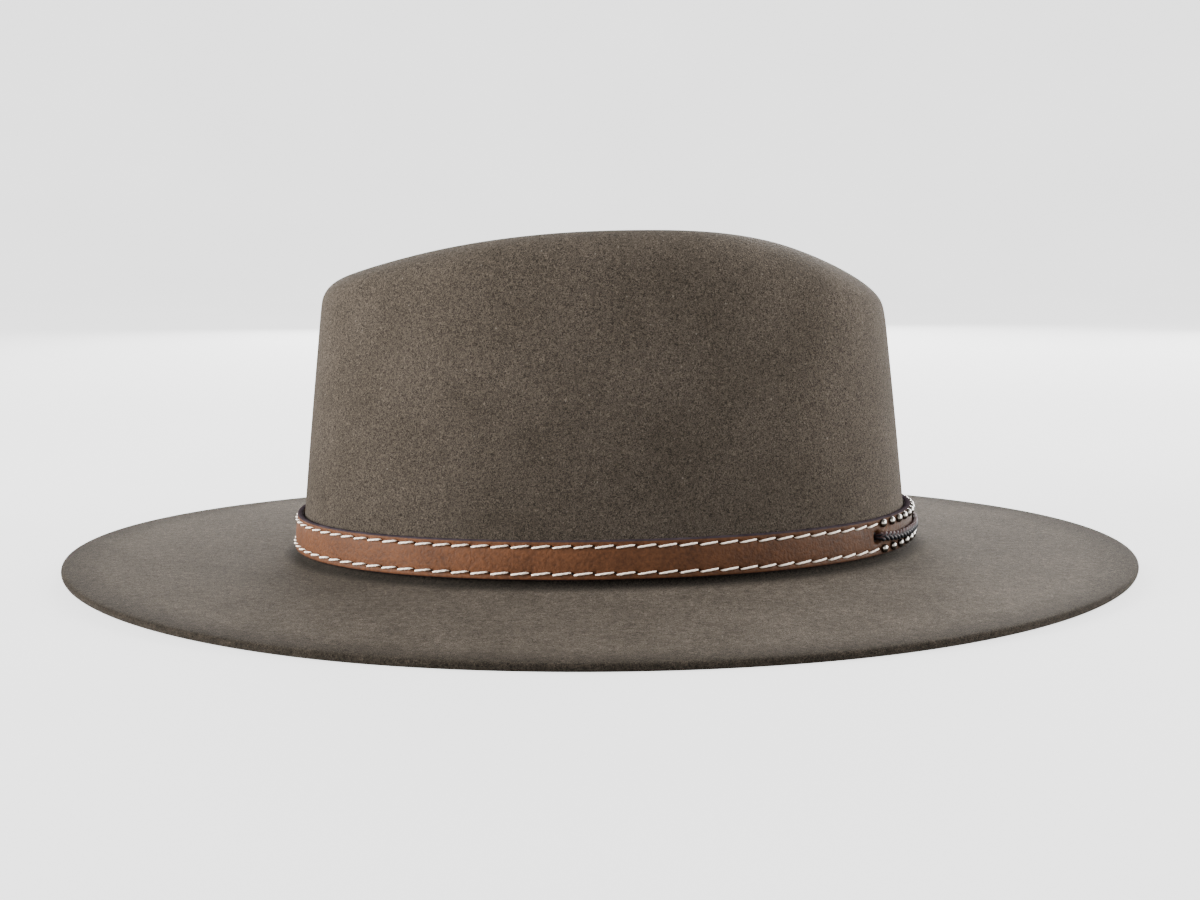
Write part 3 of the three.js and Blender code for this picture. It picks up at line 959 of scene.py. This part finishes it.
def add_tube(bm, sections, sides, uv_layer):
    """A closed tube. Its UV map holds the distance along it and the turn round it."""
    rings = tube_rings(bm, sections, sides)
    place_of = {}
    for part, ring in zip(sections, rings):
        for number, vert in enumerate(ring):
            place_of[vert] = (part.along, number / sides)
    for face in {face for vert in place_of for face in vert.link_faces}:
        turns = [place_of[loop.vert][1] for loop in face.loops]
        over_seam = max(turns) - min(turns) > 0.5
        for loop in face.loops:
            along, turn = place_of[loop.vert]
            loop[uv_layer].uv = (along, turn + 1 if over_seam and turn < 0.5 else turn)
    for ring in (rings[0], rings[-1]):
        bmesh.ops.contextual_create(bm, geom=ring)


print("tubes are ready")

# %% [markdown]
# The twist of a plied thread and the grooves of a lace are stripes that run round the tube as they go
# along it. The group turns the tube's UV map into such stripes. Nothing is modelled for each ply,
# because a stitch is less than a millimetre thick.

# %% Twist
twist, ends_in, ends_out = new_group(
    "twist",
    [("Vector", "Vector", None), ("Plies", "Float", 2.0), ("Pitch", "Float", 2.0 * MM)],
    [("Groove", "Float"), ("Turn", "Float")],
)
parts = twist.nodes.new("ShaderNodeSeparateXYZ")
twist.links.new(ends_in.outputs["Vector"], parts.inputs[0])
along = math_node(twist, "DIVIDE", parts.outputs[0], ends_in.outputs["Pitch"])
around = math_node(twist, "MULTIPLY", parts.outputs[1], ends_in.outputs["Plies"])
phase = math_node(twist, "MULTIPLY", math_node(twist, "ADD", along, around), 2 * math.pi)
groove = math_node(twist, "MULTIPLY_ADD", math_node(twist, "SINE", phase), 0.5, 0.5)
twist.links.new(groove, ends_out.inputs["Groove"])
twist.links.new(parts.outputs[1], ends_out.inputs["Turn"])
print("group", twist.name, "with", len(twist.nodes), "nodes")

# %% Thread
PLY_GROOVE_SHADE = (0.90, 0.74, 0.60, 1)
PLY_TOP = (1, 0.94, 0.86, 1)
WORN_THREAD = (0.86, 0.78, 0.70, 1)
thread, tree, shader, coordinates = new_material("thread")
plied = place_group(tree, twist, coordinates.outputs["UV"], Plies=2.0, Pitch=1.7 * MM)
fluff = noise_node(tree, coordinates.outputs["Object"], 2500, 2)
# Painted shade: the grooves between the plies are coloured darker than the ply tops.
ply_colour_and_groove_shade = mix_colours(tree, plied.outputs["Groove"], PLY_GROOVE_SHADE, PLY_TOP)
wear = mix_colours(tree, fluff, WORN_THREAD, UNCHANGED)
tree.links.new(mix_colours(tree, 0.4, ply_colour_and_groove_shade, wear, "MULTIPLY"), shader.inputs["Base Color"])
add_bump(tree, shader, plied.outputs["Groove"], 0.15 * MM, 0.6)
shader.inputs["Roughness"].default_value = 0.6
shader.inputs["Sheen Weight"].default_value = 0.2
print("thread is ready")

# %% [markdown]
# Each stitch comes up at the low end of one slanted hole and goes down at the high end of the next.
# That slant is what an awl leaves in hand-stitched leather. One function lays a stitch as seven small
# sections, and a loop sets the two rows.

# %% Stitches
THREAD_SIDES = 6
THREAD_HALF_HEIGHT = 0.32 * MM
THREAD_HALF_DEPTH = 0.38 * MM
STITCH_RISE = 0.42 * MM
MIDDLE_PROUD = 0.3 * MM
StitchPoint = namedtuple("StitchPoint", "from_end proud pull")
STITCH_HALF = [
    StitchPoint(0.28 * MM, -0.75 * MM, 0.5),
    StitchPoint(0.60 * MM, 0.0 * MM, 0.65),
    StitchPoint(1.35 * MM, 0.26 * MM, 1),
]


def stitch_sections(start, end, level):
    """The sections of one stitch between two holes. A tight thread is thinner towards its holes."""
    length = end - start
    stops = STITCH_HALF + [StitchPoint(length / 2, MIDDLE_PROUD, 1)]
    stops += [point._replace(from_end=length - point.from_end) for point in STITCH_HALF[::-1]]
    sections = []
    for along, proud, pull in stops:
        angle = angle_at(start + along)
        _, up, out = band_frame(angle)
        slant = level + STITCH_RISE * (2 * along / length - 1)
        centre = on_band(angle, slant, proud)
        tall, deep = THREAD_HALF_HEIGHT * pull, THREAD_HALF_DEPTH * pull
        sections.append(Section(centre, up, out, tall, deep, start + along))
    return sections


for name, level in (("stitches_upper", HIGH_STITCH), ("stitches_lower", LOW_STITCH)):
    bm = bmesh.new()
    uv_layer = bm.loops.layers.uv.new("along")
    for start, end in zip(hole_places[:-1], hole_places[1:]):
        add_tube(bm, stitch_sections(start, end, level), THREAD_SIDES, uv_layer)
    bmesh.ops.recalc_face_normals(bm, faces=bm.faces)
    stitches = finish_piece(bm, name, [thread])

# %% [markdown]
# The studs are domed heads of polished nickel. A stud is turned work, so its half-outline is spun
# round its own axis. Each is spun at the origin and then carried to its place in the leather, so the
# finished object itself still sits at the origin.

# %% Nickel
NICKEL_COLOURS = ((0.065, 0.057, 0.048, 1), (0.32, 0.305, 0.28, 1))
nickel, tree, shader, coordinates = new_material("stud_metal")
toned = add_patches(tree, coordinates.outputs["Object"], NICKEL_COLOURS, 500.0, (3000.0, 0.3))
tree.links.new(toned.outputs["Color"], shader.inputs["Base Color"])
vary_roughness(tree, shader, toned.outputs["Grain"], 0.10, 0.20)
shader.inputs["Metallic"].default_value = 1
print("nickel is ready")

# %% Shape of a stud
STUD_SIDES = 16
DOME_STEPS = 6
HEAD_RADIUS = 1.45 * MM
HEAD_HEIGHT = 1.45 * MM
HEAD_RIM = 0.3 * MM
SHANK_RADIUS = 0.45 * MM
SHANK_DEPTH = 1.5 * MM
SAME_PLACE = 1e-5


def spin_outline(bm, outline, steps):
    """Spins an open outline once round the Z axis, and closes its seam and its poles."""
    line = [bm.verts.new(point) for point in outline]
    edges = [bm.edges.new(pair) for pair in zip(line[:-1], line[1:])]
    bmesh.ops.spin(
        bm,
        geom=line + edges,
        cent=(0, 0, 0),
        axis=(0, 0, 1),
        angle=2 * math.pi,
        steps=steps,
        use_merge=True,
    )
    bmesh.ops.remove_doubles(bm, verts=bm.verts, dist=SAME_PLACE)


def stud_outline():
    """The half-outline of a stud: its shank, the hollow back of its head, and its dome."""
    outline = [Vector((0, 0, -SHANK_DEPTH)), Vector((SHANK_RADIUS, 0, -SHANK_DEPTH))]
    outline += [Vector((SHANK_RADIUS, 0, 0.1 * MM)), Vector((HEAD_RADIUS * 0.92, 0, 0.05 * MM))]
    for step in range(DOME_STEPS + 1):
        turn = math.pi / 2 * step / DOME_STEPS
        height = HEAD_RIM + (HEAD_HEIGHT - HEAD_RIM) * math.sin(turn)
        outline.append(Vector((HEAD_RADIUS * math.cos(turn), 0, height)))
    outline[-1].x = 0
    return outline


print(len(stud_outline()), "points in the half-outline of a stud")

# %% Studs
STUDS_EACH_ROW = 18
STUD_PITCH = 6.3 * MM
STUD_ROW = 4.2 * MM
STUD_PROUD = 0.03 * MM


def seat_matrix(angle, level, proud):
    """Carries a piece whose own Z points out of the leather to its place on the band."""
    _, up, out = band_frame(angle)
    turned = Matrix((up.cross(out), up, out)).transposed().to_4x4()
    return Matrix.Translation(on_band(angle, level, proud)) @ turned


for row, level in (("upper", BAND_MIDDLE + STUD_ROW), ("lower", BAND_MIDDLE - STUD_ROW)):
    for number in range(1, STUDS_EACH_ROW + 1):
        distance = (number - 1 - (STUDS_EACH_ROW - 1) / 2) * STUD_PITCH
        bm = bmesh.new()
        spin_outline(bm, stud_outline(), STUD_SIDES)
        seat = seat_matrix(angle_at(distance), level, STUD_PROUD)
        bmesh.ops.transform(bm, matrix=seat, verts=bm.verts)
        bmesh.ops.recalc_face_normals(bm, faces=bm.faces)
        stud = finish_piece(bm, f"domed_stud_{row}_{number:02d}", [nickel])
        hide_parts(f"stud_{row}_{number:02d}")

# %% [markdown]
# The lace is a flat braid of three thin strands. In such a braid each strand swings up and down once
# while it swings in and out twice, a third of a turn behind the next one. Two sine waves say just
# that, so the strands pass over and under each other by themselves. The braid is held in its two
# holes and hangs a little lower between them. Its strands are nearly black, with a mauve highlight
# painted on their upper side.

# %% Lace leather
LACE_COLOURS = ((0.005, 0.0055, 0.007, 1), (0.016, 0.017, 0.020, 1))
MAUVE_HIGHLIGHT_GROOVE = (0.040, 0.010, 0.008, 1)
MAUVE_HIGHLIGHT_TOP = (0.078, 0.045, 0.043, 1)
lace_leather, tree, shader, coordinates = new_material("lace_leather")
plied = place_group(tree, twist, coordinates.outputs["UV"], Plies=1.0, Pitch=2.8 * MM)
around = math_node(tree, "MULTIPLY", plied.outputs["Turn"], 2 * math.pi)
# Painted highlight: the strands' upper side gets a mauve colour as if lit from above, and their lower
# side stays nearly black.
painted_highlight_side = stretch_node(tree, math_node(tree, "COSINE", around), 0.1, 0.9)
toned = add_patches(tree, coordinates.outputs["Object"], LACE_COLOURS, 300.0, (1800.0, 0.5))
mauve_painted_highlight = mix_colours(tree, plied.outputs["Groove"], MAUVE_HIGHLIGHT_GROOVE, MAUVE_HIGHLIGHT_TOP)
lace_lit_and_shaded = mix_colours(tree, painted_highlight_side, toned.outputs["Color"], mauve_painted_highlight)
tree.links.new(lace_lit_and_shaded, shader.inputs["Base Color"])
add_bump(tree, shader, toned.outputs["Grain"], 0.06 * MM, 0.5)
shader.inputs["Roughness"].default_value = 0.45
shader.inputs["Specular IOR Level"].default_value = 0.08
print("lace leather is ready")

# %% Braided lace
STRANDS = 3
STRAND_SIDES = 8
STRAND_RADIUS = 0.72 * MM
STRAND_FLATNESS = 0.9
BRAID_PERIOD = 8.4 * MM
BRAID_SWING = 1.0 * MM
BRAID_LAP = 0.38 * MM
END_GATHER = 0.55
LACE_PROUD = 1.2 * MM
LACE_SUNK = -1.4 * MM
LACE_BEND = 1.6 * MM
LACE_SAG = 1.0 * MM
LACE_SLACK = 14 * MM
LACE_STEPS = 132


def lace_section(distance, strand):
    """One section of a strand of the braid. Both ends of the braid dip into their punched holes."""
    turn = 2 * math.pi * (distance / BRAID_PERIOD + strand / STRANDS)
    left = LACE_REACH - abs(distance)
    dive = min(1, left / LACE_BEND)
    proud = mix(LACE_SUNK, LACE_PROUD, math.sin(math.pi / 2 * dive))
    gather = mix(END_GATHER, 1, dive)
    angle = angle_at(distance)
    _, up, out = band_frame(angle)
    sag = LACE_SAG * smooth_step(left, LACE_BEND, LACE_SLACK)
    level = BAND_MIDDLE - sag + BRAID_SWING * gather * math.sin(turn)
    centre = on_band(angle, level, proud + BRAID_LAP * math.sin(2 * turn))
    deep = STRAND_RADIUS * STRAND_FLATNESS * gather
    return Section(centre, up, out, STRAND_RADIUS * gather, deep, distance)


for strand in range(STRANDS):
    bm = bmesh.new()
    uv_layer = bm.loops.layers.uv.new("along")
    stops = [LACE_REACH * (2 * i / LACE_STEPS - 1) for i in range(LACE_STEPS + 1)]
    add_tube(bm, [lace_section(stop, strand) for stop in stops], STRAND_SIDES, uv_layer)
    bmesh.ops.recalc_face_normals(bm, faces=bm.faces)
    braid = finish_piece(bm, f"lace_strand_{strand + 1}", [lace_leather])
    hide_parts("lace")

# %% [markdown]
# The hat stands in a round sweep, a floor that curves up into a wall on every side, so it shows no
# corner from any view. Half its outline is spun round the middle. The paper glows by itself, so that
# the background is even and pale, but it sends no light to the hat. The light is soft: a broad panel
# at each side, two behind, and a pale sky for the rest, as in a small product studio.

# %% Paper
PAPER_COLOURS = ((0.29, 0.29, 0.29, 1), (0.31, 0.31, 0.31, 1))
PAPER_GLOW = 7
paper, tree, shader, coordinates = new_material("paper")
toned = add_patches(tree, coordinates.outputs["Object"], PAPER_COLOURS, 3.0)
tree.links.new(toned.outputs["Color"], shader.inputs["Base Color"])
tree.links.new(toned.outputs["Color"], shader.inputs["Emission Color"])
shader.inputs["Emission Strength"].default_value = PAPER_GLOW
shader.inputs["Roughness"].default_value = 0.9
shader.inputs["Specular IOR Level"].default_value = 0.1
print("paper is ready")

# %% Sweep
FLOOR_RADIUS = 2.6
SWEEP_RADIUS = 0.9
WALL_HEIGHT = 1.6
SWEEP_STEPS = 10
SWEEP_SIDES = 96
outline = [Vector((0, 0, 0)), Vector((FLOOR_RADIUS / 2, 0, 0))]
for step in range(SWEEP_STEPS + 1):
    turn = math.pi / 2 * step / SWEEP_STEPS
    x = FLOOR_RADIUS + SWEEP_RADIUS * math.sin(turn)
    outline.append(Vector((x, 0, SWEEP_RADIUS * (1 - math.cos(turn)))))
outline.append(outline[-1] + Vector((0, 0, WALL_HEIGHT)))
bm = bmesh.new()
spin_outline(bm, outline, SWEEP_SIDES)
bmesh.ops.recalc_face_normals(bm, faces=bm.faces)
sweep = finish_piece(bm, "paper_sweep", [paper])
sweep.visible_diffuse = False
sweep.visible_shadow = False

# %% Lights
Panel = namedtuple("Panel", "name place size power")
PANELS = [
    Panel("left_panel", Vector((-1.28, -0.36, 0.4)), 0.8, 63),
    Panel("right_panel", Vector((1.32, -0.10, 0.4)), 0.8, 39),
    Panel("far_panel", Vector((0.0, 1.4, 0.55)), 0.9, 46),
    Panel("far_right_panel", Vector((1.0, 1.0, 0.45)), 0.8, 29),
]
LIT_POINT = Vector((0, 0, 0.05))
for panel in PANELS:
    light_data = bpy.data.lights.new(panel.name, "AREA")
    light_data.shape = "SQUARE"
    light_data.size = panel.size
    light_data.energy = panel.power
    light = bpy.data.objects.new(panel.name, light_data)
    light.location = panel.place
    light.rotation_euler = (LIT_POINT - panel.place).to_track_quat("-Z", "Y").to_euler()
    light.visible_camera = False
    bpy.context.scene.collection.objects.link(light)
    print(panel.name, panel.power, "W")

# %% Sky
SKY_STRENGTH = 0.78
world = bpy.data.worlds.new("sky")
world.use_nodes = True
background = world.node_tree.nodes["Background"]
background.inputs["Color"].default_value = (1, 1, 1, 1)
background.inputs["Strength"].default_value = SKY_STRENGTH
bpy.context.scene.world = world
print("sky strength", SKY_STRENGTH)
